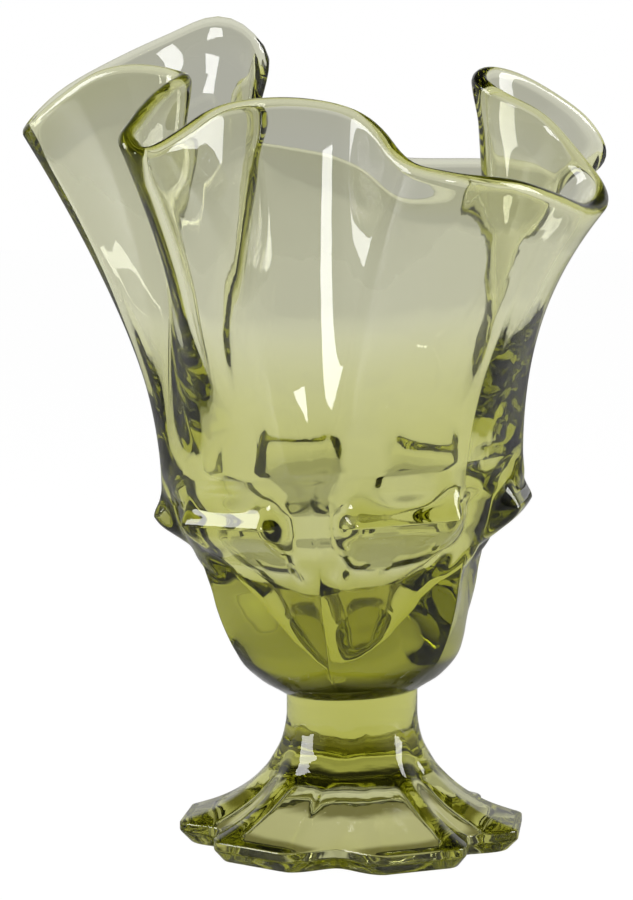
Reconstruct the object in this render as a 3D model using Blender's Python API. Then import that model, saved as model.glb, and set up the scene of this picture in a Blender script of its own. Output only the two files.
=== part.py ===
"""Footed handkerchief vase in moss-green pressed glass.

Two pieces of glass, joined hot at the neck:
  foot  a solid stem that spreads into a six-lobed base with a hollow underneath
  bowl  a thick-based pressed bowl with six ledged sides, whose flared wall
        was reheated and folded into a handkerchief rim

Metres, +Z up. The front of the vase looks along -Y, and the origin is on
the table, under the middle of the box that the vase fills. It is shaped
round the foot's axis and moved there last. Directions are in degrees, from
the front round to the right. Profiles are in millimetres or in shares.
"""

import math

import bmesh
import bpy
import numpy as np
from mathutils import Matrix

MM = 0.001

# How the vase is laid out
LOBES = 6
FOOT_TURN = 24.0  # direction of the foot's first lobe
BOWL_TURN = 20.0  # direction of the middle of the bowl's first side
BOWL_LEAN = 2.6  # the bowl and the joint lean to the left of the foot
JOINT_GAP = 0.3 * MM  # between the bowl and the top of the stem

# Foot
STEM_RADIUS = 18.2 * MM
FOOT_HEIGHT = 42.0 * MM
FOOT_RADIUS = 48.2 * MM  # to the corners of the lobes
FOOT_NOTCH_RADIUS = 39.6 * MM
FOOT_LOBE_HALF_WIDTH = 12.5  # degrees, half of a lobe's flat outer edge
FOOT_EDGE_HEIGHT = 6.0 * MM
FOOT_CHAMFER = 3.4 * MM
FOOT_EDGE_ROUNDING = 0.5 * MM
FOOT_RIM_WIDTH = 7.3 * MM  # the flat that it stands on, round the hollow
HOLLOW_HEIGHT = 18.8 * MM
SWEEP_LOBING = 0.7  # how fast the lobes fade up the sweep: a higher number makes it round sooner
HOLLOW_LOBING = 1.5  # the same for the hollow

# The foot's top as shares: how far out from the stem, how far up from the edge
FOOT_SWEEP = (
    (0.87, 0.035), (0.74, 0.075), (0.60, 0.130), (0.47, 0.195), (0.36, 0.265), (0.26, 0.345),
    (0.19, 0.410), (0.125, 0.495), (0.06, 0.595), (0.017, 0.72), (0.0, 0.83),
)

# The hollow under the foot as shares, from its top down: of its radius, of its height
FOOT_HOLLOW = (
    (0.24, 0.989), (0.373, 0.952), (0.48, 0.862), (0.56, 0.745), (0.64, 0.601),
    (0.733, 0.452), (0.827, 0.319), (0.917, 0.197), (0.984, 0.080), (1.0, 0.0),
)

# Bowl, with heights measured up from its underside
BOWL_NECK_RADIUS = 18.7 * MM
LEDGE_HALF_WIDTH = 15.0  # degrees, half of a side's straight ledge
LEDGE_END = 9.0  # degrees over which a ledge's end drops back to the corner
LEDGE_STRAIGHTNESS = 0.85  # 0 follows the round of the bowl, 1 is straight
LEDGE_BAND = (33.0 * MM, 41.0 * MM, 54.0 * MM, 60.0 * MM)  # it fades in, then out again
CAVITY_FLOOR = 13.5 * MM
BASE_WALL = 12.2 * MM  # thickness of the wall below the shoulder
UPPER_WALL = 3.6 * MM
WALL_THINS = (-12.0 * MM, 44.0 * MM)  # heights over the shoulder between which it thins
RIM_WALL = 4.8 * MM
RIM_BAND = 12.0 * MM  # the rim thickens over this height

# Outer profile: height above the underside, radius at the middle of a side, radius at a corner
BODY_PROFILE = (
    (1.3, 20.8, 20.6), (3.2, 24.2, 23.6), (5.2, 26.6, 26.2), (8.8, 29.7, 30.2),
    (13.2, 31.4, 33.1), (18.5, 32.1, 35.6), (26.5, 32.4, 38.3), (31.5, 32.6, 39.4),
    (34.5, 33.4, 40.3), (37.5, 36.0, 41.2), (41.5, 41.2, 42.6), (45.0, 46.2, 44.3),
    (48.5, 50.8, 46.2), (50.3, 52.2, 46.8), (51.6, 52.7, 47.1), (53.0, 52.5, 47.4),
    (56.0, 51.1, 48.3), (58.5, 50.4, 49.1), (64.0, 50.0, 50.3),
)
SHOULDER_HEIGHT = BODY_PROFILE[-1][0] * MM  # where the folded wall begins
# Inner profile of the cavity: share of the depth from floor to shoulder, share of the radius
CAVITY_PROFILE = (
    (0.045, 0.155), (0.105, 0.245), (0.185, 0.365), (0.285, 0.485),
    (0.40, 0.61), (0.54, 0.735), (0.68, 0.84), (0.84, 0.93),
)

# The rim's line from above and its height over the shoulder, in millimetres, lobe by lobe.
# Each stretch starts on a lobe's tip or at the bottom of a fold.
RIM_STRETCHES = (
    # front left tip to the front fold
    ((-54.8, -69.5, 85.0), (-50.0, -69.0, 84.8), (-41.5, -61.0, 89.8), (-33.8, -52.0, 95.7),
     (-25.1, -45.5, 98.2)),
    # front fold to the front tip
    ((-13.6, -42.5, 98.6), (-2.6, -44.0, 96.4), (4.2, -50.5, 91.4), (8.6, -57.0, 85.2),
     (13.2, -62.0, 81.3), (20.7, -66.5, 79.2)),
    # front tip to the hardly folded front right
    ((29.4, -68.0, 77.4), (42.4, -60.0, 75.9)),
    # front right to the right tip
    ((54.1, -46.0, 72.4), (62.7, -30.0, 69.5)),
    # right tip to the right fold
    ((68.0, -17.0, 72.0), (67.7, -7.0, 76.5), (61.5, 1.0, 85.4), (53.2, 4.5, 94.8),
     (43.2, 5.5, 100.8)),
    # right fold to the right rear tip
    ((37.6, 10.5, 105.8), (39.2, 17.5, 108.5), (47.0, 24.5, 107.1), (58.9, 31.0, 100.6),
     (67.9, 37.0, 93.6)),
    # right rear tip to the low rear
    ((72.8, 46.0, 84.9), (67.5, 57.0, 80.0), (54.5, 64.0, 80.8), (38.1, 67.0, 82.2)),
    # low rear to the rear tip
    ((14.1, 68.0, 82.5), (-2.2, 73.0, 85.0), (-18.7, 77.0, 88.9)),
    # rear tip to the left rear fold
    ((-32.5, 75.0, 94.3), (-36.0, 65.5, 101.1), (-33.8, 53.0, 106.0)),
    # left rear fold to the left tip, over the highest point
    ((-29.2, 38.5, 109.0), (-28.6, 33.0, 117.8), (-36.4, 32.0, 123.4), (-50.3, 36.0, 118.5),
     (-65.7, 36.0, 111.7), (-82.7, 28.0, 101.6)),
    # left tip to the left fold
    ((-92.1, 15.0, 90.8), (-83.0, 4.0, 98.3), (-69.3, -5.0, 106.7), (-57.2, -11.0, 108.1)),
    # left fold to the front left tip
    ((-47.6, -16.0, 105.9), (-51.0, -26.0, 102.6), (-54.4, -37.0, 98.6), (-57.4, -52.0, 93.2),
     (-58.8, -66.0, 87.5)),
)
# How late each lobe and fold starts to flare: a higher number keeps it upright for longer
FLARE = (1.7, 1.2, 2.0, 2.0, 2.5, 1.0, 1.9, 1.9, 1.9, 1.1, 1.5, 1.0)

# How finely the surfaces are divided
STRETCH_COLUMNS = (10, 9, 8, 6, 9, 9, 9, 8, 8, 11, 9, 9)
TIP_GRADING = 0.4  # 0 spaces the columns evenly, 1 crowds them at the tips and folds
FOOT_FACET_COLUMNS = 4
FOOT_NOTCH_COLUMNS = 8
WALL_ROWS = 11
ROUNDING_STEPS = 3

GLASS_COLOUR = (0.42, 0.45, 0.16, 1.0)
GLASS_ROUGHNESS = 0.02
GLASS_IOR = 1.51


def clear_scene():
    """Remove every object that is already there."""
    for item in list(bpy.data.objects):
        bpy.data.objects.remove(item, do_unlink=True)


def smooth_step(value):
    """Ease from 0 to 1 over the same range."""
    value = np.clip(value, 0.0, 1.0)
    return value * value * (3.0 - 2.0 * value)


def off_lobe(azimuth, turn):
    """Angle from each direction to its nearest lobe's middle, in degrees."""
    pitch = 360.0 / LOBES
    return np.abs((np.asarray(azimuth) - turn + pitch / 2) % pitch - pitch / 2)


def around(azimuth, radius, height):
    """Points at these directions, radii and heights."""
    angle = np.radians(azimuth)
    radius = np.broadcast_to(radius, angle.shape)
    height = np.broadcast_to(height, angle.shape)
    return np.stack([radius * np.sin(angle), -radius * np.cos(angle), height], axis=1)


def closed_body(name, rings, bottom, top):
    """A closed body from a stack of rings, with a point or a flat face at each end."""
    mesh = bmesh.new()
    rows = [[mesh.verts.new(point) for point in ring] for ring in rings]
    count = len(rows[0])
    for lower, upper in zip(rows, rows[1:]):
        for i in range(count):
            j = (i + 1) % count
            mesh.faces.new((lower[i], lower[j], upper[j], upper[i]))
    for row, middle, flip in ((rows[0], bottom, True), (rows[-1], top, False)):
        centre = mesh.verts.new(middle)
        for i in range(count):
            j = (i + 1) % count
            corners = (row[j], row[i], centre) if flip else (row[i], row[j], centre)
            mesh.faces.new(corners)
    bmesh.ops.recalc_face_normals(mesh, faces=mesh.faces)
    data = bpy.data.meshes.new(name)
    mesh.to_mesh(data)
    mesh.free()
    data.shade_smooth()
    data.set_sharp_from_angle(angle=math.radians(35))
    piece = bpy.data.objects.new(name, data)
    bpy.context.collection.objects.link(piece)
    return piece


def add_glass(piece):
    """Give a piece its own glass."""
    glass = bpy.data.materials.new(piece.name + "_glass")
    glass.use_nodes = True
    shader = glass.node_tree.nodes["Principled BSDF"]
    shader.inputs["Base Color"].default_value = GLASS_COLOUR
    shader.inputs["Roughness"].default_value = GLASS_ROUGHNESS
    shader.inputs["Metallic"].default_value = 0.0
    shader.inputs["IOR"].default_value = GLASS_IOR
    shader.inputs["Transmission Weight"].default_value = 1.0
    piece.data.materials.append(glass)


# Foot: round and lobed outlines, from the top of its hollow down, out and up to the neck


def foot_azimuths():
    """Directions of the foot's columns, with one on each corner of the lobes."""
    pitch = 360.0 / LOBES
    corner = FOOT_LOBE_HALF_WIDTH
    facet = np.linspace(-corner, corner, FOOT_FACET_COLUMNS + 1)[:-1]
    notch = np.linspace(corner, pitch - corner, FOOT_NOTCH_COLUMNS + 1)[:-1]
    lobe = np.concatenate([facet, notch])
    return np.concatenate([FOOT_TURN + pitch * number + lobe for number in range(LOBES)])


def foot_outline(azimuth):
    """Radius of the six-lobed edge: flat outer facets with rounded notches between."""
    off = off_lobe(azimuth, FOOT_TURN)
    corner = np.radians(FOOT_LOBE_HALF_WIDTH)
    facet = FOOT_RADIUS * math.cos(corner) / np.cos(np.radians(off))
    half_pitch = 180.0 / LOBES
    into_notch = (off - FOOT_LOBE_HALF_WIDTH) / (half_pitch - FOOT_LOBE_HALF_WIDTH)
    flank = FOOT_RADIUS + (FOOT_NOTCH_RADIUS - FOOT_RADIUS) * smooth_step(into_notch)
    return np.where(off < FOOT_LOBE_HALF_WIDTH, facet, flank)


def foot_levels():
    """Height, radius over a lobe and share of lobedness, from the hollow's top to the neck."""
    edge, rounding = FOOT_EDGE_HEIGHT, FOOT_EDGE_ROUNDING
    underside = FOOT_RADIUS - FOOT_CHAMFER
    hollow = underside - FOOT_RIM_WIDTH
    levels = [(HOLLOW_HEIGHT * up, hollow * out, out**HOLLOW_LOBING) for out, up in FOOT_HOLLOW]
    levels += [
        (0.0, underside, 1.0),
        (FOOT_CHAMFER, FOOT_RADIUS - 0.2 * rounding, 1.0),
        (edge - rounding, FOOT_RADIUS, 1.0),
        (edge, FOOT_RADIUS - rounding, 1.0),
    ]
    spread = FOOT_RADIUS - rounding - STEM_RADIUS
    rise = FOOT_HEIGHT - edge
    for out, up in FOOT_SWEEP:
        levels.append((edge + rise * up, STEM_RADIUS + spread * out, out**SWEEP_LOBING))
    levels.append((FOOT_HEIGHT, STEM_RADIUS, 0.0))
    return levels


def make_foot():
    """The stem and its six-lobed hollow base, with its top tilted to meet the bowl."""
    azimuth = foot_azimuths()
    outline = foot_outline(azimuth) / FOOT_RADIUS
    rings = []
    for height, radius, lobed in foot_levels():
        rings.append(around(azimuth, radius * (1.0 + lobed * (outline - 1.0)), height))
    rings[-1][:, 2] += math.tan(math.radians(BOWL_LEAN)) * rings[-1][:, 0]
    foot = closed_body("foot", rings, (0, 0, HOLLOW_HEIGHT), (0, 0, FOOT_HEIGHT))
    add_glass(foot)
    return foot


# Bowl: the pressed lower body, then the wall that was flared and folded


def bowl_base():
    """Height of the bowl's underside over the table."""
    return FOOT_HEIGHT + JOINT_GAP


def leaned(points, lean=BOWL_LEAN):
    """The points turned about the middle of the neck, to the left."""
    turned = np.array(points)
    side, up = turned[..., 0].copy(), turned[..., 2] - bowl_base()
    sine, cosine = math.sin(math.radians(lean)), math.cos(math.radians(lean))
    turned[..., 0] = side * cosine - up * sine
    turned[..., 2] = bowl_base() + side * sine + up * cosine
    return turned


def between(heights, height):
    """Ease from 0 to 1 between a pair of heights."""
    low, high = heights
    return smooth_step((height - low) / (high - low))


def side_shape(off, height):
    """1 at the middle of a side and 0 at a corner: flat below, with a straight ledge above."""
    flat = 1.0 - (off / (180.0 / LOBES)) ** 2
    ledge = 1.0 - smooth_step((off - LEDGE_HALF_WIDTH) / LEDGE_END)
    return flat + (ledge - flat) * ledged(height)


def ledged(height):
    """How far a height is in the band of the ledges, from 0 to 1."""
    return between(LEDGE_BAND[:2], height) * (1.0 - between(LEDGE_BAND[2:], height))


def body_ring(azimuth, height, side, corner):
    """One outline of the pressed lower body, with the ledges almost straight."""
    off = off_lobe(azimuth, BOWL_TURN)
    radius = corner + (side - corner) * side_shape(off, height)
    half = math.radians(LEDGE_HALF_WIDTH)
    straight = math.cos(half) / np.cos(np.minimum(np.radians(off), half))
    radius *= 1.0 + (straight - 1.0) * LEDGE_STRAIGHTNESS * ledged(height)
    return around(azimuth, radius, bowl_base() + height)


def rim_controls():
    """The rim's control points in metres, and which of them start a stretch."""
    points, starts = [], []
    for stretch in RIM_STRETCHES:
        starts.append(len(points))
        points.extend(stretch)
    controls = np.array(points) * MM
    controls[:, 2] += bowl_base() + SHOULDER_HEIGHT
    return controls, starts


def closed_curve(controls, index, share):
    """A point between two controls of a closed curve that passes through them all."""
    a, b, c, d = (controls[(index + k) % len(controls)] for k in (-1, 0, 1, 2))
    gaps = [max(math.sqrt(np.linalg.norm(q - p)), 1e-6) for p, q in ((a, b), (b, c), (c, d))]
    into = (c - b) + gaps[1] * ((b - a) / gaps[0] - (c - a) / (gaps[0] + gaps[1]))
    out = (c - b) + gaps[1] * ((d - c) / gaps[2] - (d - b) / (gaps[1] + gaps[2]))
    square, cube = share**2, share**3
    return (
        b * (2 * cube - 3 * square + 1)
        + into * (cube - 2 * square + share)
        + c * (3 * square - 2 * cube)
        + out * (cube - square)
    )


def column_places():
    """Where each column is, counted in stretches from the front left tip."""
    steps = [number + np.arange(count) / count for number, count in enumerate(STRETCH_COLUMNS)]
    return np.concatenate(steps)


def column_azimuths():
    """Where each column starts at the shoulder: every stretch takes an equal angle."""
    pitch = 360.0 / LOBES
    return BOWL_TURN - pitch + column_places() * pitch / 2


def flare_powers():
    """How late each column flares, blended from tip to fold."""
    return np.interp(column_places(), np.arange(len(FLARE) + 1), list(FLARE) + [FLARE[0]])


def rim_line():
    """The top of the rim for each column, a little denser at the tips and the folds."""
    controls, starts = rim_controls()
    parts = 12
    line = []
    for number, (start, count) in enumerate(zip(starts, STRETCH_COLUMNS)):
        end = starts[number + 1] if number + 1 < len(starts) else len(controls)
        path = [closed_curve(controls, i, k / parts) for i in range(start, end) for k in range(parts)]
        path = np.array(path + [controls[end % len(controls)]])
        length = np.concatenate([[0.0], np.cumsum(np.linalg.norm(np.diff(path, axis=0), axis=1))])
        even = np.arange(count) / count
        graded = 0.5 - 0.5 * np.cos(math.pi * even)
        along = (even + (graded - even) * TIP_GRADING) * length[-1]
        line.append(np.stack([np.interp(along, length, axis) for axis in path.T], axis=1))
    return np.concatenate(line)


def wall_ring(shoulder, rim, powers, share):
    """One outline of the folded wall, at a share of the way from shoulder to rim."""
    ring = shoulder.copy()
    out = (share**powers)[:, None]
    ring[:, :2] += (rim[:, :2] - shoulder[:, :2]) * out
    ring[:, 2] += (rim[:, 2] - shoulder[:, 2]) * share
    return ring


def outward(rings):
    """Unit normals of a grid of rings, away from the inside."""
    grid = np.array(rings)
    along = np.roll(grid, -1, axis=1) - np.roll(grid, 1, axis=1)
    up = np.gradient(grid, axis=0)
    normal = np.cross(along, up)
    return normal / np.linalg.norm(normal, axis=2, keepdims=True)


def wall_thickness(over_shoulder, below_rim):
    """Thickness of the wall, given its height over the shoulder and its distance to the rim."""
    base = (BASE_WALL - UPPER_WALL) * (1.0 - between(WALL_THINS, over_shoulder))
    edge = (RIM_WALL - UPPER_WALL) * (1.0 - smooth_step(below_rim / RIM_BAND))
    return UPPER_WALL + base + edge


def bowl_rings():
    """Rings of the outside from the neck to the rim, over it, and down the inside."""
    azimuth = column_azimuths()
    body = [leaned(around(azimuth, BOWL_NECK_RADIUS, bowl_base()))]
    for height, side, corner in np.array(BODY_PROFILE) * MM:
        body.append(leaned(body_ring(azimuth, height, side, corner)))
    rim, powers = rim_line(), flare_powers()
    rim[:, 2] -= RIM_WALL / 2
    shares = np.arange(1, WALL_ROWS + 1) / WALL_ROWS
    wall = [body[-1]] + [wall_ring(body[-1], rim, powers, share) for share in shares]
    length = np.linalg.norm(rim - body[-1], axis=1)
    inner = []
    for ring, normal, share in zip(wall, outward(wall), np.concatenate([[0.0], shares])):
        thick = wall_thickness(ring[:, 2] - body[-1][:, 2], (1.0 - share) * length)
        inner.append(ring - normal * thick[:, None])
    return body + wall[1:] + rim_bead(wall, inner) + inner[-2::-1] + cavity_rings(inner[0])


def rim_bead(wall, inner):
    """Rings of the fire-polished edge, half round from the outside to the inside."""
    middle = (wall[-1] + inner[-1]) / 2
    half = (wall[-1] - inner[-1]) / 2
    up = wall[-1] - wall[-2]
    up = up / np.linalg.norm(up, axis=1, keepdims=True)
    reach = np.linalg.norm(half, axis=1, keepdims=True)
    rings = []
    for step in range(1, ROUNDING_STEPS + 1):
        turn = math.pi * step / (ROUNDING_STEPS + 1)
        rings.append(middle + half * math.cos(turn) + up * reach * math.sin(turn))
    return rings + [inner[-1]]


def cavity_rings(mouth):
    """Rings of the cavity below the shoulder, narrowing from its mouth to its floor."""
    floor = bowl_base() + CAVITY_FLOOR
    upright = leaned(mouth, -BOWL_LEAN)
    rings = []
    for up, out in reversed(CAVITY_PROFILE):
        ring = upright.copy()
        ring[:, :2] *= out
        ring[:, 2] = floor + (upright[:, 2] - floor) * up
        rings.append(leaned(ring))
    return rings


def make_bowl():
    """The pressed bowl with its folded rim."""
    rings = bowl_rings()
    floor = leaned([[0.0, 0.0, bowl_base() + CAVITY_FLOOR]])[0]
    bowl = closed_body("bowl", rings, (0, 0, bowl_base()), floor)
    add_glass(bowl)
    return bowl


def centre_over_origin(pieces):
    """Move the pieces together until the middle of their box is over the origin."""
    places = np.array([point.co for piece in pieces for point in piece.data.vertices])
    middle = (places.min(axis=0) + places.max(axis=0)) / 2
    for piece in pieces:
        piece.data.transform(Matrix.Translation((-middle[0], -middle[1], 0.0)))


clear_scene()
centre_over_origin([make_foot(), make_bowl()])
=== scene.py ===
"""Looks of a footed handkerchief vase in moss-green pressed glass.

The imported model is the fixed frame. Metres, +Z up, front of the vase along -Y.
Directions round the vase are in degrees, from the front towards the right.
"""

import math

import bmesh
import bpy
import numpy as np
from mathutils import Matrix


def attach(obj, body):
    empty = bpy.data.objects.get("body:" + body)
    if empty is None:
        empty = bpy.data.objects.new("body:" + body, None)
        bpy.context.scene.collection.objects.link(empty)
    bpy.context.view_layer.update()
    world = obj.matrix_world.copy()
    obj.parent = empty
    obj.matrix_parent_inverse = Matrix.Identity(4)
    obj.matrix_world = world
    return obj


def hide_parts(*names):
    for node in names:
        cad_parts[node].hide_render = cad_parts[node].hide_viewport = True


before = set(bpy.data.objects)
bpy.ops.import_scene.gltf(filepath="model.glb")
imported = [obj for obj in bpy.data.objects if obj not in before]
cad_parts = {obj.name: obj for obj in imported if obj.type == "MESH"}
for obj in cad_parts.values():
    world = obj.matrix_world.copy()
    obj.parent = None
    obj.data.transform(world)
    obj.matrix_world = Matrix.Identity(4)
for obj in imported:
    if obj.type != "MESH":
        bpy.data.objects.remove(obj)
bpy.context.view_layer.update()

# The foot
# A solid stem that spreads into a six-lobed base, pressed in clear moss-green glass with a
# domed hollow underneath. It stands on the flat edge round the hollow, and the bowl is
# joined to its top while both are hot.

MM = 0.001
AXIS = (9.469 * MM, -3.743 * MM)  # where the middle of the stem meets the table
LOBES = 6
FOOT_TURN = 24.0
JOINT_LEAN = 2.6
STEM_RADIUS = 18.2 * MM
FOOT_HEIGHT = 42.0 * MM
FOOT_OVERLAP = 0.45 * MM  # the stem ends this much higher, inside the bowl's underside
TILT_START = 0.8  # the share of its height from which the stem tilts to meet the bowl
FOOT_RADIUS = 48.15 * MM
FOOT_NOTCH_RADIUS = 39.6 * MM
FOOT_LOBE_HALF_WIDTH = 12.5
FOOT_EDGE_HEIGHT = 6.0 * MM
FOOT_EDGE_ROUNDING = 0.5 * MM
FOOT_CHAMFER = 3.4 * MM
FOOT_SEAM = 0.12 * MM
SEAM_PITCH = 120.0  # the mould opened in three parts
ON_SEAM = 0.1
LEAST_FACING_UP = -0.2  # of the outside, as the hollow's faces look further down
LOBE_COLUMNS = 49

# The upper side from its edge to the stem, as shares of its way inwards left and upwards made
FOOT_SWEEP = (
    (0.87, 0.035), (0.74, 0.075), (0.60, 0.130), (0.47, 0.195), (0.36, 0.265), (0.26, 0.345),
    (0.19, 0.410), (0.125, 0.495), (0.06, 0.595), (0.017, 0.72), (0.0, 0.83),
)
SWEEP_ASPECT = 1.3  # how much a step up counts for against a step out, in spacing the rows
SWEEP_LOBING = 0.7  # the power by which the lobes fade towards the stem
SWEEP_ROWS = 70

# The hollow from its top down to its edge, as shares of its radius and its height
FOOT_HOLLOW = (
    (0.0, 1.0), (0.12, 0.998), (0.24, 0.989), (0.373, 0.952), (0.48, 0.862), (0.56, 0.745),
    (0.64, 0.601), (0.733, 0.452), (0.827, 0.319), (0.917, 0.197), (0.984, 0.080), (1.0, 0.0),
)
HOLLOW_RADIUS = 37.5 * MM
HOLLOW_HEIGHT = 18.8 * MM
HOLLOW_LOBING = 1.5  # the power by which the lobes fade towards the hollow's top
HOLLOW_ROWS = 40

GLASS_SURFACE = (0.99, 0.99, 0.97, 1.0)
GLASS_IOR = 1.52
GLASS_TINT = (0.787, 0.795, 0.13, 1.0)
GLASS_DENSITY = 60.0
FINE_RIPPLE_SCALE = 260.0
HAZE_SCALE = 35.0
FOOT_RIPPLE_HEIGHT = 0.25 * MM
FOOT_RIPPLE_STRETCH = 1.6


def smooth_step(value):
    """Ease from 0 to 1 over the same range."""
    value = np.clip(value, 0.0, 1.0)
    return value * value * (3.0 - 2.0 * value)


def hermite(place, value, at):
    """Values on a smooth curve through points given by place and value."""
    slope = np.gradient(value, place)
    i = np.clip(np.searchsorted(place, at) - 1, 0, len(place) - 2)
    span = place[i + 1] - place[i]
    t = (at - place[i]) / span
    return (
        value[i] * (2 * t**3 - 3 * t**2 + 1)
        + value[i + 1] * (3 * t**2 - 2 * t**3)
        + slope[i] * span * (t**3 - 2 * t**2 + t)
        + slope[i + 1] * span * (t**3 - t**2)
    )


def distances_along(points, power=1.0):
    """How far along a polyline each of its points lies, with its steps raised to a power."""
    steps = np.linalg.norm(np.diff(points, axis=0), axis=1) ** power
    return np.concatenate([[0.0], np.cumsum(steps)])


def softened(points, reach, most=0.45, steps=4):
    """A polyline with each inner corner turned into an arc, over at most a share of its sides."""
    points = [np.array(point, float) for point in points]
    line = [points[0]]
    for before, corner, after in zip(points, points[1:], points[2:]):
        into, out = before - corner, after - corner
        into *= min(reach / np.linalg.norm(into[:2]), most)
        out *= min(reach / np.linalg.norm(out[:2]), most)
        for share in np.linspace(0.0, 1.0, steps):
            line.append(corner + into * (1 - share) ** 2 + out * share**2)
    return line + [points[-1]]


def foot_outline(off):
    """Radius of the foot's edge at an angle off a lobe's middle, as a share of the lobe's."""
    corner = math.radians(FOOT_LOBE_HALF_WIDTH)
    facet = math.cos(corner) / np.cos(np.radians(off))
    into_notch = (off - FOOT_LOBE_HALF_WIDTH) / (180.0 / LOBES - FOOT_LOBE_HALF_WIDTH)
    flank = 1.0 + (FOOT_NOTCH_RADIUS / FOOT_RADIUS - 1.0) * smooth_step(into_notch)
    return np.where(off < FOOT_LOBE_HALF_WIDTH, facet, flank)


def foot_profile():
    """Radius, height and share of lobedness, from the hollow's top to the stem's top."""
    hollow = np.array(FOOT_HOLLOW)
    place = distances_along(hollow)
    fine = np.linspace(0.01, place[-1], HOLLOW_ROWS)
    out, up = hermite(place, hollow[:, 0], fine), hermite(place, hollow[:, 1], fine)
    under = [
        (HOLLOW_RADIUS * o, HOLLOW_HEIGHT * max(u, 0.0), o**HOLLOW_LOBING)
        for o, u in zip(out, up)
    ]
    edge = [
        (FOOT_RADIUS - FOOT_CHAMFER, 0.0, 1.0),
        (FOOT_RADIUS, FOOT_CHAMFER, 1.0),
        (FOOT_RADIUS, FOOT_EDGE_HEIGHT, 1.0),
    ]
    knots = np.array([(1.0, 0.0), *FOOT_SWEEP, (0.0, 1.0)])
    place = distances_along(knots * [1.0, SWEEP_ASPECT])
    fine = np.linspace(0.0, place[-1], SWEEP_ROWS)[2:-1]
    out, up = hermite(place, knots[:, 0], fine), hermite(place, knots[:, 1], fine)
    out = np.clip(out, 0.0, 1.0)
    spread, rise = FOOT_RADIUS - STEM_RADIUS, FOOT_HEIGHT - FOOT_EDGE_HEIGHT
    sweep = [
        (STEM_RADIUS + spread * o, FOOT_EDGE_HEIGHT + rise * u, o**SWEEP_LOBING)
        for o, u in zip(out, up)
    ]
    top = FOOT_HEIGHT + FOOT_OVERLAP
    cap = [(STEM_RADIUS * share, top, 0.0) for share in (1.0, 0.5, 0.001)]
    body = softened([under[-1], *edge, sweep[0]], FOOT_EDGE_ROUNDING)
    return np.array(under[:-1] + body + sweep[1:] + cap)


def grid_object(name, grid, closed_round):
    """A mesh object of quads between the rows and columns of a grid of points."""
    rows, columns = grid.shape[:2]
    index = np.arange(rows * columns).reshape(rows, columns)
    following = np.roll(index, -1, axis=1) if closed_round else index[:, 1:]
    current = index if closed_round else index[:, :-1]
    quads = np.stack([current[:-1], following[:-1], following[1:], current[1:]], axis=-1)
    mesh = bpy.data.meshes.new(name)
    mesh.from_pydata(grid.reshape(-1, 3).tolist(), [], quads.reshape(-1, 4).tolist())
    piece = bpy.data.objects.new(name, mesh)
    bpy.context.collection.objects.link(piece)
    return piece


def close_mesh(piece, distance, sharp):
    """Merge doubles, fill the two small ends, point the faces outwards and shade smooth."""
    made = bmesh.new()
    made.from_mesh(piece.data)
    bmesh.ops.remove_doubles(made, verts=made.verts, dist=distance)
    bmesh.ops.holes_fill(made, edges=made.edges, sides=0)
    bmesh.ops.recalc_face_normals(made, faces=made.faces)
    made.to_mesh(piece.data)
    made.free()
    piece.data.shade_smooth()
    piece.data.set_sharp_from_angle(angle=math.radians(sharp))


def stand_on_axis(piece):
    """Move a piece, shaped round the stem's axis, to where that axis stands."""
    for vertex in piece.data.vertices:
        vertex.co.x += AXIS[0]
        vertex.co.y += AXIS[1]


def one_lobe():
    """One sixth of the foot, between the middles of two notches."""
    off = np.linspace(-180.0 / LOBES, 180.0 / LOBES, LOBE_COLUMNS)
    outline, angle = foot_outline(np.abs(off)), np.radians(off)
    rows = []
    for radius, height, lobed in foot_profile():
        out = radius * (1.0 + lobed * (outline - 1.0))
        level = np.full(LOBE_COLUMNS, height)
        rows.append(np.stack([out * np.sin(angle), -out * np.cos(angle), level], axis=1))
    return grid_object("foot_lobe", np.array(rows), False)


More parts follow.
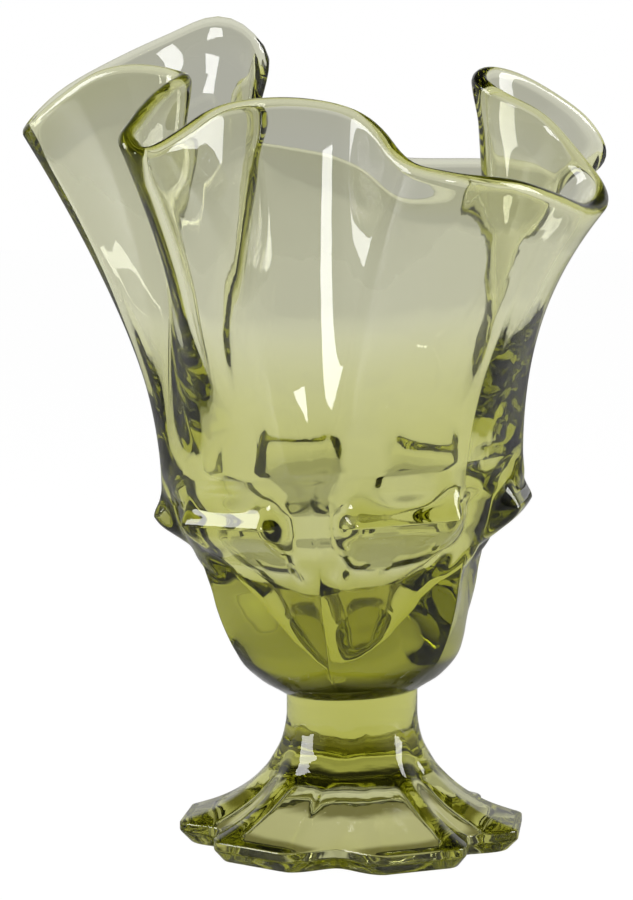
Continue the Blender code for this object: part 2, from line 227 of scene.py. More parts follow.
def lobes_in_a_ring():
    """A Geometry Nodes tree that sets copies of one lobe round the stem."""
    tree = bpy.data.node_groups.new("lobes_round_the_stem", "GeometryNodeTree")
    face = tree.interface
    face.new_socket("Lobe", in_out="INPUT", socket_type="NodeSocketObject")
    face.new_socket("Lobes", in_out="INPUT", socket_type="NodeSocketInt")
    face.new_socket("Turn", in_out="INPUT", socket_type="NodeSocketFloat")
    face.new_socket("Glass", in_out="INPUT", socket_type="NodeSocketMaterial")
    face.new_socket("Foot", in_out="OUTPUT", socket_type="NodeSocketGeometry")
    nodes, links = tree.nodes, tree.links
    given = nodes.new("NodeGroupInput")
    result = nodes.new("NodeGroupOutput")
    points = nodes.new("GeometryNodePoints")
    source = nodes.new("GeometryNodeObjectInfo")
    order = nodes.new("GeometryNodeInputIndex")
    pitch = nodes.new("ShaderNodeMath")
    pitch.operation = "DIVIDE"
    pitch.inputs[0].default_value = 2 * math.pi
    place = nodes.new("ShaderNodeMath")
    place.operation = "MULTIPLY_ADD"
    turned = nodes.new("ShaderNodeCombineXYZ")
    copies = nodes.new("GeometryNodeInstanceOnPoints")
    real = nodes.new("GeometryNodeRealizeInstances")
    glass = nodes.new("GeometryNodeSetMaterial")
    links.new(given.outputs["Lobe"], source.inputs["Object"])
    links.new(given.outputs["Lobes"], points.inputs["Count"])
    links.new(given.outputs["Lobes"], pitch.inputs[1])
    links.new(order.outputs["Index"], place.inputs[0])
    links.new(pitch.outputs[0], place.inputs[1])
    links.new(given.outputs["Turn"], place.inputs[2])
    links.new(place.outputs[0], turned.inputs["Z"])
    links.new(points.outputs[0], copies.inputs["Points"])
    links.new(source.outputs["Geometry"], copies.inputs["Instance"])
    links.new(turned.outputs[0], copies.inputs["Rotation"])
    links.new(copies.outputs[0], real.inputs[0])
    links.new(real.outputs[0], glass.inputs["Geometry"])
    links.new(given.outputs["Glass"], glass.inputs["Material"])
    links.new(glass.outputs[0], result.inputs["Foot"])
    return tree


def set_input(modifier, name, value):
    """Set a Geometry Nodes modifier's input by its name."""
    socket = modifier.node_group.interface.items_tree[name]
    modifier[socket.identifier] = value


def add_seams(piece):
    """Raise the mould's seam on the outside, along every second notch."""
    facing_up = [vertex.normal.z for vertex in piece.data.vertices]
    for vertex, upward in zip(piece.data.vertices, facing_up):
        bearing = math.degrees(math.atan2(vertex.co.x, -vertex.co.y))
        from_notch = bearing - FOOT_TURN + 180.0 / LOBES
        off_seam = abs((from_notch + SEAM_PITCH / 2) % SEAM_PITCH - SEAM_PITCH / 2)
        outside = upward > LEAST_FACING_UP and FOOT_CHAMFER < vertex.co.z < FOOT_HEIGHT
        if off_seam < ON_SEAM and outside:
            vertex.co.z += FOOT_SEAM


def tilt_top(piece):
    """Tilt the stem's top to lie against the leaning bowl."""
    slope = math.tan(math.radians(JOINT_LEAN))
    start = TILT_START * FOOT_HEIGHT
    for vertex in piece.data.vertices:
        tilted = max(0.0, (vertex.co.z - start) / (FOOT_HEIGHT - start))
        vertex.co.z += slope * vertex.co.x * tilted


def ripple_group():
    """Shader nodes for the faint waviness and wiped-on haze of hand-worked glass."""
    group = bpy.data.node_groups.new("glass_ripples", "ShaderNodeTree")
    face = group.interface
    given_values = (("Stretch", 0.25), ("Ripple size", 60.0), ("Fine share", 0.2), ("Haze", 0.02))
    for name, value in given_values:
        socket = face.new_socket(name, in_out="INPUT", socket_type="NodeSocketFloat")
        socket.default_value = value
    for name in ("Height", "Roughness"):
        face.new_socket(name, in_out="OUTPUT", socket_type="NodeSocketFloat")
    nodes, links = group.nodes, group.links
    given = nodes.new("NodeGroupInput")
    result = nodes.new("NodeGroupOutput")
    where = nodes.new("ShaderNodeTexCoord")
    drawn = nodes.new("ShaderNodeVectorMath")
    drawn.operation = "MULTIPLY"
    stretch = nodes.new("ShaderNodeCombineXYZ")
    stretch.inputs["X"].default_value = 1.0
    stretch.inputs["Y"].default_value = 1.0
    broad = nodes.new("ShaderNodeTexNoise")
    broad.inputs["Detail"].default_value = 1.0
    fine = nodes.new("ShaderNodeTexNoise")
    fine.inputs["Scale"].default_value = FINE_RIPPLE_SCALE
    fine.inputs["Detail"].default_value = 1.0
    mixed = nodes.new("ShaderNodeMath")
    mixed.operation = "MULTIPLY_ADD"
    haze = nodes.new("ShaderNodeTexNoise")
    haze.inputs["Scale"].default_value = HAZE_SCALE
    hazed = nodes.new("ShaderNodeMath")
    hazed.operation = "MULTIPLY"
    links.new(where.outputs["Object"], drawn.inputs[0])
    links.new(given.outputs["Stretch"], stretch.inputs["Z"])
    links.new(stretch.outputs[0], drawn.inputs[1])
    links.new(drawn.outputs[0], broad.inputs["Vector"])
    links.new(given.outputs["Ripple size"], broad.inputs["Scale"])
    links.new(drawn.outputs[0], fine.inputs["Vector"])
    links.new(fine.outputs["Fac"], mixed.inputs[0])
    links.new(given.outputs["Fine share"], mixed.inputs[1])
    links.new(broad.outputs["Fac"], mixed.inputs[2])
    links.new(where.outputs["Object"], haze.inputs["Vector"])
    links.new(haze.outputs["Fac"], hazed.inputs[0])
    links.new(given.outputs["Haze"], hazed.inputs[1])
    links.new(mixed.outputs[0], result.inputs["Height"])
    links.new(hazed.outputs[0], result.inputs["Roughness"])
    return group


def moss_glass(name, ripples, ripple_height, stretch):
    """Clear pressed glass whose colour deepens with the length of glass looked through."""
    glass = bpy.data.materials.new(name)
    glass.use_nodes = True
    nodes, links = glass.node_tree.nodes, glass.node_tree.links
    shader = nodes["Principled BSDF"]
    shader.inputs["Base Color"].default_value = GLASS_SURFACE
    shader.inputs["Metallic"].default_value = 0.0
    shader.inputs["IOR"].default_value = GLASS_IOR
    shader.inputs["Transmission Weight"].default_value = 1.0
    surface = nodes.new("ShaderNodeGroup")
    surface.node_tree = ripples
    surface.inputs["Stretch"].default_value = stretch
    bump = nodes.new("ShaderNodeBump")
    bump.inputs["Strength"].default_value = 1.0
    bump.inputs["Distance"].default_value = ripple_height
    links.new(surface.outputs["Height"], bump.inputs["Height"])
    links.new(bump.outputs["Normal"], shader.inputs["Normal"])
    links.new(surface.outputs["Roughness"], shader.inputs["Roughness"])
    colour = nodes.new("ShaderNodeVolumeAbsorption")
    colour.inputs["Color"].default_value = GLASS_TINT
    colour.inputs["Density"].default_value = GLASS_DENSITY
    links.new(colour.outputs[0], nodes["Material Output"].inputs["Volume"])
    return glass


ripples = ripple_group()
foot_glass = moss_glass("foot_glass", ripples, FOOT_RIPPLE_HEIGHT, FOOT_RIPPLE_STRETCH)
lobe = one_lobe()
ring = bpy.data.objects.new("foot_ring", bpy.data.meshes.new("foot_ring"))
bpy.context.collection.objects.link(ring)
repeat = ring.modifiers.new("lobes", "NODES")
repeat.node_group = lobes_in_a_ring()
set_input(repeat, "Lobe", lobe)
set_input(repeat, "Lobes", LOBES)
set_input(repeat, "Turn", math.radians(FOOT_TURN))
set_input(repeat, "Glass", foot_glass)
bpy.context.view_layer.update()
evaluated = ring.evaluated_get(bpy.context.evaluated_depsgraph_get())
foot = bpy.data.objects.new("vase_foot", bpy.data.meshes.new_from_object(evaluated))
bpy.data.objects.remove(ring, do_unlink=True)
bpy.data.objects.remove(lobe, do_unlink=True)
bpy.context.collection.objects.link(foot)
close_mesh(foot, distance=0.01 * MM, sharp=40.0)
add_seams(foot)
tilt_top(foot)
stand_on_axis(foot)
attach(foot, "root")
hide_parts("foot")

# The bowl
# A thick-based bowl pressed in the same glass, with a ledge on each of its six sides. Its wall
# was reheated, flared and dropped into folds by hand, so the rim is irregular.

BOWL_TURN = 20.0
JOINT_GAP = 0.3 * MM
NECK_RADIUS = 18.7 * MM
LEDGE_HALF_WIDTH = 15.0
LEDGE_END = 9.0
LEDGE_STRAIGHTNESS = 0.85
LEDGE_BAND = (33.0 * MM, 41.0 * MM, 54.0 * MM, 60.0 * MM)
CAVITY_FLOOR = 13.5 * MM
BASE_WALL = 12.2 * MM
UPPER_WALL = 3.6 * MM
WALL_THINS = (-12.0 * MM, 44.0 * MM)  # over the shoulder, from and to
RIM_WALL = 4.8 * MM
RIM_BAND = 12.0 * MM
SHOULDER_HEIGHT = 64.0 * MM
CORNER_ROUNDING = 0.018  # as a share of the way from a corner to the middle of a side
BOWL_SEAM = 0.12 * MM
BOWL_RIPPLE_HEIGHT = 0.12 * MM
BOWL_RIPPLE_STRETCH = 0.25

# The pressed body in millimetres: height, radius in the middle of a side, radius at a corner
BODY_PROFILE = (
    (0.0, 18.7, 18.7), (1.3, 20.8, 20.6), (3.2, 24.2, 23.6), (5.2, 26.6, 26.2), (8.8, 29.7, 30.2),
    (13.2, 31.4, 33.1), (18.5, 32.1, 35.6), (26.5, 32.4, 38.3), (31.5, 32.6, 39.4),
    (34.5, 33.4, 40.3), (37.5, 36.0, 41.2), (41.5, 41.2, 42.6), (45.0, 46.2, 44.3),
    (48.5, 50.8, 46.2), (50.4, 52.25, 46.8), (51.0, 52.6, 47.0), (51.5, 52.58, 47.15),
    (55.4, 51.05, 48.1), (55.9, 50.92, 48.25), (58.5, 50.4, 49.1), (64.0, 50.0, 50.3),
)

# Rows up the body, closest at the ledge: from and to in millimetres, and how many
BODY_ROWS = (
    (0.0, 40.0, 40), (41.0, 50.0, 14), (50.3, 52.1, 10),
    (52.7, 54.7, 5), (55.0, 56.4, 8), (57.0, 64.0, 11),
)

# The inside of the base, from its floor to the shoulder: share of the height, of the radius
CAVITY_PROFILE = (
    (0.0, 0.0), (0.01, 0.076), (0.045, 0.155), (0.105, 0.245), (0.185, 0.365), (0.285, 0.485),
    (0.40, 0.61), (0.54, 0.735), (0.68, 0.84), (0.84, 0.93), (1.0, 1.0),
)

# Points of the rim in millimetres over the shoulder, in one group for each stretch between a
# corner of the body and the middle of a side, and how late the wall flares in each stretch
RIM_STRETCHES = (
    ((-54.8, -69.5, 85.0), (-50.0, -69.0, 84.8), (-41.5, -61.0, 89.8), (-33.8, -52.0, 95.7),
     (-25.1, -45.5, 98.2)),
    ((-13.6, -42.5, 98.6), (-2.6, -44.0, 96.4), (4.2, -50.5, 91.4), (8.6, -57.0, 85.2),
     (13.2, -62.0, 81.3), (20.7, -66.5, 79.2)),
    ((29.4, -68.0, 77.4), (42.4, -60.0, 75.9)),
    ((54.1, -46.0, 72.4), (62.7, -30.0, 69.5)),
    ((68.0, -17.0, 72.0), (67.7, -7.0, 76.5), (61.5, 1.0, 85.4), (53.2, 4.5, 94.8),
     (43.2, 5.5, 100.8)),
    ((37.6, 10.5, 105.8), (39.2, 17.5, 108.5), (47.0, 24.5, 107.1), (58.9, 31.0, 100.6),
     (67.9, 37.0, 93.6)),
    ((72.8, 46.0, 84.9), (67.5, 57.0, 80.0), (54.5, 64.0, 80.8), (38.1, 67.0, 82.2)),
    ((14.1, 68.0, 82.5), (-2.2, 73.0, 85.0), (-18.7, 76.9, 88.9)),
    ((-32.5, 75.0, 94.3), (-36.0, 65.5, 101.1), (-33.8, 53.0, 106.0)),
    ((-29.2, 38.5, 109.0), (-28.6, 33.0, 117.8), (-36.4, 32.0, 123.4), (-50.3, 36.0, 118.5),
     (-65.7, 36.0, 111.7), (-82.7, 28.0, 101.6)),
    ((-92.1, 15.0, 90.8), (-83.0, 4.0, 98.3), (-69.3, -5.0, 106.7), (-57.2, -11.0, 108.1)),
    ((-47.6, -16.0, 105.9), (-51.0, -26.0, 102.6), (-54.4, -37.0, 98.6), (-57.4, -52.0, 93.2),
     (-58.8, -66.0, 87.5)),
)
FLARE = (1.7, 1.2, 2.0, 2.0, 2.5, 1.0, 1.9, 1.9, 1.9, 1.1, 1.5, 1.0)
COLUMNS_PER_STRETCH = 27
TIP_GRADING = 0.25  # how far the columns crowd towards the ends of a stretch
CURVE_POINTS = 200  # to measure the rim's length in each stretch
RIM_BLUR = 1
FLARE_BLUR = 4
WALL_ROWS = 72
BEAD_ROWS = 10
CAVITY_ROWS = 43

bowl_base = FOOT_HEIGHT + JOINT_GAP
even_places = np.arange(2 * LOBES * COLUMNS_PER_STRETCH) / COLUMNS_PER_STRETCH
corners = np.arange(1, 2 * LOBES, 2)
places = np.sort(
    np.concatenate([even_places, corners - CORNER_ROUNDING, corners + CORNER_ROUNDING])
)
columns = len(places)
azimuth = BOWL_TURN - 360.0 / LOBES + places * 180.0 / LOBES
off_side = np.abs((azimuth - BOWL_TURN + 180.0 / LOBES) % (360.0 / LOBES) - 180.0 / LOBES)
on_seam = np.abs((places - 1.0 + 2.0) % 4.0 - 2.0) < 0.001


def leaned(points, lean=JOINT_LEAN):
    """The points turned about the middle of the neck, to the left."""
    turned = np.array(points)
    side, up = turned[..., 0].copy(), turned[..., 2] - bowl_base
    sine, cosine = math.sin(math.radians(lean)), math.cos(math.radians(lean))
    turned[..., 0] = side * cosine - up * sine
    turned[..., 2] = bowl_base + side * sine + up * cosine
    return turned


def around(radius, height):
    """A ring of points at these radii and this height."""
    angle = np.radians(azimuth)
    level = np.full(columns, height)
    return np.stack([radius * np.sin(angle), -radius * np.cos(angle), level], axis=1)


def between(heights, height):
    """Ease from 0 to 1 between a pair of heights."""
    return smooth_step((height - heights[0]) / (heights[1] - heights[0]))


def ledged(height):
    """How far a height is in the band of the ledges, from 0 to 1."""
    return between(LEDGE_BAND[:2], height) * (1.0 - between(LEDGE_BAND[2:], height))


def side_shape(height):
    """1 at the middle of a side and 0 at a corner: flat below, with a straight ledge above."""
    flat = 1.0 - (off_side / (180.0 / LOBES)) ** 2
    ledge = 1.0 - smooth_step((off_side - LEDGE_HALF_WIDTH) / LEDGE_END)
    return flat + (ledge - flat) * ledged(height)


def body_ring(height):
    """One outline of the pressed lower body."""
    knots = np.array(BODY_PROFILE) * MM
    side = hermite(knots[:, 0], knots[:, 1], np.array([height]))[0]
    corner = hermite(knots[:, 0], knots[:, 2], np.array([height]))[0]
    radius = corner + (side - corner) * side_shape(height)
    half = math.radians(LEDGE_HALF_WIDTH)
    straight = math.cos(half) / np.cos(np.minimum(np.radians(off_side), half))
    radius *= 1.0 + (straight - 1.0) * LEDGE_STRAIGHTNESS * ledged(height)
    radius += on_seam * BOWL_SEAM * (1.0 - between(LEDGE_BAND[2:], height))
    return leaned(around(radius, bowl_base + height))


def rim_curve():
    """The top of the rim, column by column, on a smooth closed curve."""
    knots = np.array([point for stretch in RIM_STRETCHES for point in stretch]) * MM
    knots[:, 2] += bowl_base + SHOULDER_HEIGHT
    starts = np.cumsum([0] + [len(stretch) for stretch in RIM_STRETCHES])
    before, after = 4, 5
    wrapped = np.concatenate([knots[-before:], knots, knots[:after]])
    place = distances_along(wrapped, power=0.5)
    even = np.arange(COLUMNS_PER_STRETCH) / COLUMNS_PER_STRETCH
    shares = even + (0.5 - 0.5 * np.cos(math.pi * even) - even) * TIP_GRADING
    line = []
    for first, last in zip(starts, starts[1:]):
        fine = np.linspace(place[first + before], place[last + before], CURVE_POINTS)
        path = np.stack([hermite(place, axis, fine) for axis in wrapped.T], axis=1)
        length = distances_along(path)
        at = shares * length[-1]
        line.append(np.stack([np.interp(at, length, axis) for axis in path.T], axis=1))
    return np.concatenate(line)


def blurred_round(values, reach):
    """Values round the bowl, averaged with their neighbours."""
    weights = np.exp(-0.5 * (np.arange(-3 * reach, 3 * reach + 1) / reach) ** 2)
    weights /= weights.sum()
    return sum(w * np.roll(values, k - 3 * reach, axis=0) for k, w in enumerate(weights))


def at_columns(values):
    """Values known at even places round the bowl, read off at each of its columns."""
    known = np.concatenate([values[-3:], values, values[:3]])
    where = (np.arange(len(known)) - 3) / COLUMNS_PER_STRETCH
    return np.stack([hermite(where, axis, places) for axis in known.T], axis=-1)


def folded_wall(shoulder):
    """The wall's outer rings from the shoulder to the rim, and their shares of that way."""
    rim = at_columns(blurred_round(rim_curve(), RIM_BLUR))
    rim[:, 2] -= RIM_WALL / 2
    powers = np.interp(even_places, np.arange(2 * LOBES + 1), [*FLARE, FLARE[0]])
    powers = at_columns(blurred_round(powers[:, None], FLARE_BLUR))[:, 0]
    shares = np.linspace(0.0, 1.0, WALL_ROWS)[:, None]
    wall = np.repeat(shoulder[None], WALL_ROWS, axis=0)
    wall[..., :2] += (rim - shoulder)[None, :, :2] * (shares**powers)[..., None]
    wall[..., 2] += (rim - shoulder)[None, :, 2] * shares
    return wall, shares


def wall_thickness(over_shoulder, below_rim):
    """Thickness of the wall, given its height over the shoulder and its distance to the rim."""
    base = (BASE_WALL - UPPER_WALL) * (1.0 - between(WALL_THINS, over_shoulder))
    edge = (RIM_WALL - UPPER_WALL) * (1.0 - smooth_step(below_rim / RIM_BAND))
    return UPPER_WALL + base + edge


def inner_wall(wall, shares):
    """The wall's inner rings, set in from the outer ones by the thickness of the wall."""
    across = np.roll(wall, -1, axis=1) - np.roll(wall, 1, axis=1)
    outward = np.cross(across, np.gradient(wall, axis=0))
    outward /= np.linalg.norm(outward, axis=2, keepdims=True)
    length = np.linalg.norm(wall[-1] - wall[0], axis=1)
    thick = wall_thickness(wall[..., 2] - wall[0, :, 2], (1.0 - shares) * length)
    return wall - outward * thick[..., None]


def rim_bead(outer, inner, upward):
    """The rounded bead over the rim, from its outside to its inside."""
    middle, half = (outer + inner) / 2, (outer - inner) / 2
    size = np.linalg.norm(half, axis=1, keepdims=True)
    rise = upward * (size / np.linalg.norm(upward, axis=1, keepdims=True))
    turns = np.linspace(0.0, math.pi, BEAD_ROWS + 2)[1:-1]
    return np.array([middle + half * math.cos(turn) + rise * math.sin(turn) for turn in turns])


def cavity_rings(mouth):
    """The inside of the thick base, from the wall's lower end down to the floor."""
    mouth = leaned(mouth, -JOINT_LEAN)
    knots = np.array(CAVITY_PROFILE)
    place = distances_along(knots)
    fine = np.linspace(place[-1], 0.001, CAVITY_ROWS + 1)[1:]
    ups = np.clip(hermite(place, knots[:, 0], fine), 0.0, 1.0)
    outs = hermite(place, knots[:, 1], fine)
    floor_height = bowl_base + CAVITY_FLOOR
    made = []
    for up, out in zip(ups, outs):
        points = mouth.copy()
        points[:, :2] *= out
        points[:, 2] = floor_height + (mouth[:, 2] - floor_height) * up
        made.append(leaned(points))
    return np.array(made)


heights = np.concatenate([np.linspace(*rows) for rows in BODY_ROWS]) * MM
body = np.array([body_ring(height) for height in heights])
wall, shares = folded_wall(body[-1])
inside = inner_wall(wall, shares)
bead = rim_bead(wall[-1], inside[-1], wall[-1] - wall[-2])
underside = [leaned(around(NECK_RADIUS * share, bowl_base)) for share in (0.002, 0.5)]
cavity = cavity_rings(inside[0])
rings = np.concatenate([underside, body, wall[1:], bead, inside[::-1], cavity])
bowl = grid_object("vase_bowl", rings, True)
close_mesh(bowl, distance=0.001 * MM, sharp=80.0)
bowl_glass = moss_glass("bowl_glass", ripples, BOWL_RIPPLE_HEIGHT, BOWL_RIPPLE_STRETCH)
bowl.data.materials.append(bowl_glass)
stand_on_axis(bowl)
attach(bowl, "root")
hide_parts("bowl")

# The photographer's table and light
# A sweep of white paper that shows as white, in a room with a pale backdrop and pale sides,
# dark above and in front. Two side softboxes and a small one at the front left draw the
# bright patches. The paper's glow to the glass holds painted shade under and behind the foot.

TABLE_SIZE = 12.0
TABLE_HEIGHT = -0.0004
SEEN_WHITE = 1.06  # just over white, so that the camera sees no edge in the paper
PAPER_REFLECTANCE = 0.8
PAPER_GLOW_SHARE = 0.93
PAPER_GLOW_NEAR = 0.76
PAPER_GLOW_FAR = 0.66
GLOW_BESIDE_PAPER = 0.45
# Painted shade: the green shade that the glass foot casts on the paper beneath it
PAPER_IN_GLASS_SHADE = (0.55, 0.54, 0.33, 1.0)
PAPER_IN_SHADE = (0.20, 0.19, 0.08, 1.0)

# Where the paper's glow changes, painted shade included: distances from the stem, from a spot
# behind it and to a side
# Painted shade: between this span and the next, the paper is a dark ring of shade under the
# foot's standing edge
INTO_EDGE_SHADOW = (0.030, 0.035)
CLEAR_OF_FOOT = (0.040, 0.050)
FAR_FROM_FOOT = (0.5, 1.4)
SHADE_BEHIND_STEM = 0.027
CLEAR_OF_SHADE = (0.011, 0.024)
BESIDE_PAPER = (1.0, 2.2)

# Grey levels of the room by height, from -1 straight down to 1 straight up
BACKDROP = (
    (-0.05, 0.63), (-0.01, 0.57), (0.015, 0.47), (0.18, 0.48), (0.24, 0.56), (0.33, 0.55),
    (0.41, 0.32), (0.50, 0.08), (0.60, 0.03), (1.0, 0.02),
)
SIDES = ((-0.05, 0.42), (0.03, 0.46), (0.28, 0.46), (0.42, 0.18), (0.55, 0.03), (1.0, 0.02))
DARK_FRONT = ((-0.05, 0.10), (0.1, 0.06), (0.4, 0.03), (1.0, 0.02))
TO_BACKDROP = (0.35, 0.85)
TO_FRONT = (-0.35, -0.85)

# The softboxes: name, place seen from the stem, width and height, watts
SOFTBOXES = (
    ("left_softbox", (-1.15, -0.22, 0.50), (0.5, 0.75), 10.0),
    ("right_softbox", (1.2, 0.0, 0.48), (0.5, 0.75), 10.0),
    ("front_softbox", (-0.50, -1.20, 0.29), (0.30, 0.30), 3.4),
)
SOFTBOX_AIM = 0.12  # the height of the point on the stem's axis that they look at


def add_plane(name, size, height):
    """A square stage plane."""
    half = size / 2
    points = [(x * half, y * half, height) for x, y in ((-1, -1), (1, -1), (1, 1), (-1, 1))]
    mesh = bpy.data.meshes.new(name)
    mesh.from_pydata(points, [], [(0, 1, 2, 3)])
    plane = bpy.data.objects.new(name, mesh)
    bpy.context.collection.objects.link(plane)
    return plane


def grey(level):
    """A neutral colour of this level."""
    return (level, level, level, 1.0)


def eased(tree, source, span):
    """A value that eases from 0 to 1 as the source goes over a span."""
    ease = tree.nodes.new("ShaderNodeMapRange")
    ease.interpolation_type = "SMOOTHSTEP"
    ease.inputs["From Min"].default_value = span[0]
    ease.inputs["From Max"].default_value = span[1]
    tree.links.new(source, ease.inputs["Value"])
    return ease.outputs[0]


def blend(tree, share, first, second):
    """A mix of two colours, each given as a value or as a socket."""
    mix = tree.nodes.new("ShaderNodeMix")
    mix.data_type = "RGBA"
    tree.links.new(share, mix.inputs["Factor"])
    for name, colour in (("A", first), ("B", second)):
        if isinstance(colour, tuple):
            mix.inputs[name].default_value = colour
        else:
            tree.links.new(colour, mix.inputs[name])
    return mix.outputs["Result"]


def math_node(tree, operation, first, second):
    """Two sockets or numbers put through one operation."""
    made = tree.nodes.new("ShaderNodeMath")
    made.operation = operation
    for place, value in enumerate((first, second)):
        if isinstance(value, float):
            made.inputs[place].default_value = value
        else:
            tree.links.new(value, made.inputs[place])
    return made.outputs[0]


def distance_to(tree, where, point):
    """The distance from a place to a fixed point."""
    made = tree.nodes.new("ShaderNodeVectorMath")
    made.operation = "DISTANCE"
    made.inputs[1].default_value = point
    tree.links.new(where, made.inputs[0])
    return made.outputs["Value"]


def parts_of(tree, vector):
    """The X, Y and Z of a vector."""
    made = tree.nodes.new("ShaderNodeSeparateXYZ")
    tree.links.new(vector, made.inputs[0])
    return made.outputs


def white_paper():
    """Paper that shows the camera white, keeps a shadow and glows to the glass by its place, with
    painted shade under and behind the foot.
    """
    paper = bpy.data.materials.new("white_paper")
    paper.use_nodes = True
    tree = paper.node_tree
    nodes, links = tree.nodes, tree.links
    nodes.remove(nodes["Principled BSDF"])
    where = nodes.new("ShaderNodeTexCoord").outputs["Object"]
    aside = math_node(tree, "ABSOLUTE", parts_of(tree, where)["X"], 0.0)
    from_stem = distance_to(tree, where, (AXIS[0], AXIS[1], 0.0))
    from_shade = distance_to(tree, where, (AXIS[0], AXIS[1] + SHADE_BEHIND_STEM, 0.0))
    # Painted shade: the glass's green shade on the paper under the foot, then a dark ring of
    # shade under its standing edge
    glow = blend(tree, eased(tree, from_stem, INTO_EDGE_SHADOW), PAPER_IN_GLASS_SHADE, PAPER_IN_SHADE)
    glow = blend(tree, eased(tree, from_stem, CLEAR_OF_FOOT), glow, grey(PAPER_GLOW_NEAR))
    glow = blend(tree, eased(tree, from_shade, CLEAR_OF_SHADE), PAPER_IN_SHADE, glow)
    glow = blend(tree, eased(tree, from_stem, FAR_FROM_FOOT), glow, grey(PAPER_GLOW_FAR))
    glow = blend(tree, eased(tree, aside, BESIDE_PAPER), glow, grey(GLOW_BESIDE_PAPER))
    path = nodes.new("ShaderNodeLightPath").outputs
    shown = nodes.new("ShaderNodeEmission")
    links.new(blend(tree, path["Is Camera Ray"], glow, grey(SEEN_WHITE)), shown.inputs["Color"])
    lit = nodes.new("ShaderNodeBsdfDiffuse")
    lit.inputs["Color"].default_value = grey(PAPER_REFLECTANCE)
    looked_at = math_node(tree, "MAXIMUM", path["Is Camera Ray"], path["Is Transmission Ray"])
    mixed = nodes.new("ShaderNodeMixShader")
    links.new(math_node(tree, "MULTIPLY", looked_at, PAPER_GLOW_SHARE), mixed.inputs["Fac"])
    links.new(lit.outputs[0], mixed.inputs[1])
    links.new(shown.outputs[0], mixed.inputs[2])
    links.new(mixed.outputs[0], nodes["Material Output"].inputs["Surface"])
    return paper


def room_ramp(tree, height, stops):
    """The room's grey level by the height of a direction."""
    ramp = tree.nodes.new("ShaderNodeValToRGB")
    scale = tree.nodes.new("ShaderNodeMapRange")
    scale.inputs["From Min"].default_value = -1.0
    tree.links.new(height, scale.inputs["Value"])
    tree.links.new(scale.outputs[0], ramp.inputs["Fac"])
    elements = ramp.color_ramp.elements
    while len(elements) < len(stops):
        elements.new(0.5)
    for element, (up, level) in zip(elements, stops):
        element.position = (up + 1.0) / 2.0
        element.color = grey(level)
    return ramp.outputs["Color"]


def studio_world():
    """White to the camera, and the grey room to everything else."""
    studio = bpy.data.worlds.new("studio")
    studio.use_nodes = True
    tree = studio.node_tree
    nodes, links = tree.nodes, tree.links
    direction = nodes.new("ShaderNodeTexCoord").outputs["Generated"]
    up = parts_of(tree, direction)["Z"]
    level = nodes.new("ShaderNodeVectorMath")
    level.operation = "MULTIPLY"
    level.inputs[1].default_value = (1.0, 1.0, 0.0)
    links.new(direction, level.inputs[0])
    bearing = nodes.new("ShaderNodeVectorMath")
    bearing.operation = "NORMALIZE"
    links.new(level.outputs[0], bearing.inputs[0])
    to_rear = parts_of(tree, bearing.outputs[0])["Y"]
    sides, dark_front = room_ramp(tree, up, SIDES), room_ramp(tree, up, DARK_FRONT)
    round_about = blend(tree, eased(tree, to_rear, TO_FRONT), sides, dark_front)
    backdrop = room_ramp(tree, up, BACKDROP)
    greys = blend(tree, eased(tree, to_rear, TO_BACKDROP), round_about, backdrop)
    room = nodes.new("ShaderNodeBackground")
    links.new(greys, room.inputs["Color"])
    white = nodes["Background"]
    white.inputs["Color"].default_value = grey(1.0)
    path = nodes.new("ShaderNodeLightPath")
    choose = nodes.new("ShaderNodeMixShader")
    links.new(path.outputs["Is Camera Ray"], choose.inputs["Fac"])
    links.new(room.outputs[0], choose.inputs[1])
    links.new(white.outputs[0], choose.inputs[2])
    links.new(choose.outputs[0], nodes["World Output"].inputs["Surface"])
    return studio


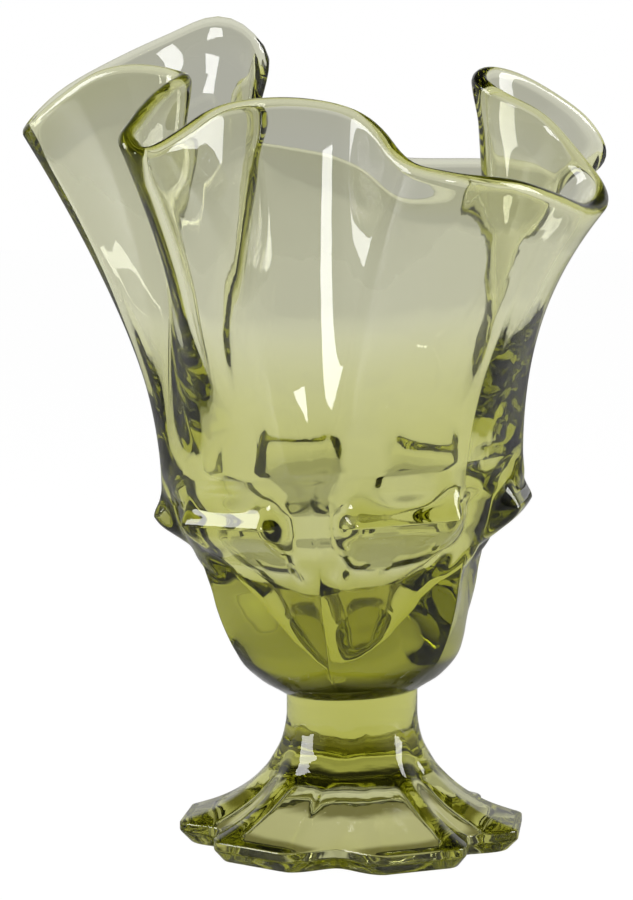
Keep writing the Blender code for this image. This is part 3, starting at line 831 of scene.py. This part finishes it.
def softbox(name, place, size, power):
    """A rectangular studio lamp aimed at the vase."""
    lamp = bpy.data.lights.new(name, "AREA")
    lamp.shape = "RECTANGLE"
    lamp.size, lamp.size_y = size
    lamp.energy = power
    holder = bpy.data.objects.new(name, lamp)
    holder.location = (place[0] + AXIS[0], place[1] + AXIS[1], place[2])
    aim = np.array([0.0, 0.0, SOFTBOX_AIM]) - np.array(place)
    tilt = math.atan2(math.hypot(aim[0], aim[1]), -aim[2])
    holder.rotation_euler = (tilt, 0.0, math.atan2(aim[1], aim[0]) - math.pi / 2)
    holder.visible_camera = False
    holder.visible_transmission = False
    bpy.context.collection.objects.link(holder)
    return holder


table = add_plane("table", TABLE_SIZE, TABLE_HEIGHT)
table.data.materials.append(white_paper())
bpy.context.scene.world = studio_world()
softboxes = [softbox(*values) for values in SOFTBOXES]

# Light linking keeps the front softbox off the foot, which would mirror it at a low angle
reached = bpy.data.collections.new("reached_by_front_softbox")
for piece in (bowl, table):
    reached.objects.link(piece)
softboxes[-1].light_linking.receiver_collection = reached

# The camera
# It stands in front of the vase, a little above its middle, and looks slightly down.

CAMERA_DISTANCE = 0.8
CAMERA_HEIGHT = 0.186
CAMERA_DOWN = 5.5
CAMERA_TURN = 0.709
CAMERA_NEAREST = 0.05
SENSOR_HEIGHT = 36.0
FOCAL_LENGTH = 2909.0 * SENSOR_HEIGHT / 900.0
BOUNCES = 24
BOUNCES_IN_GLASS = 20  # the thick base mirrors light this often before it leaves

camera_data = bpy.data.cameras.new("camera")
camera_data.sensor_width = SENSOR_HEIGHT
camera_data.lens = FOCAL_LENGTH
camera_data.clip_start = CAMERA_NEAREST
camera = bpy.data.objects.new("camera", camera_data)
camera.location = (AXIS[0], AXIS[1] - CAMERA_DISTANCE, CAMERA_HEIGHT)
camera.rotation_euler = (math.radians(90.0 - CAMERA_DOWN), 0.0, math.radians(CAMERA_TURN))
bpy.context.collection.objects.link(camera)
bpy.context.scene.camera = camera

light_paths = bpy.context.scene.cycles
light_paths.max_bounces = BOUNCES
light_paths.glossy_bounces = BOUNCES_IN_GLASS
light_paths.transmission_bounces = BOUNCES_IN_GLASS
bpy.context.scene.view_settings.view_transform = "Standard"
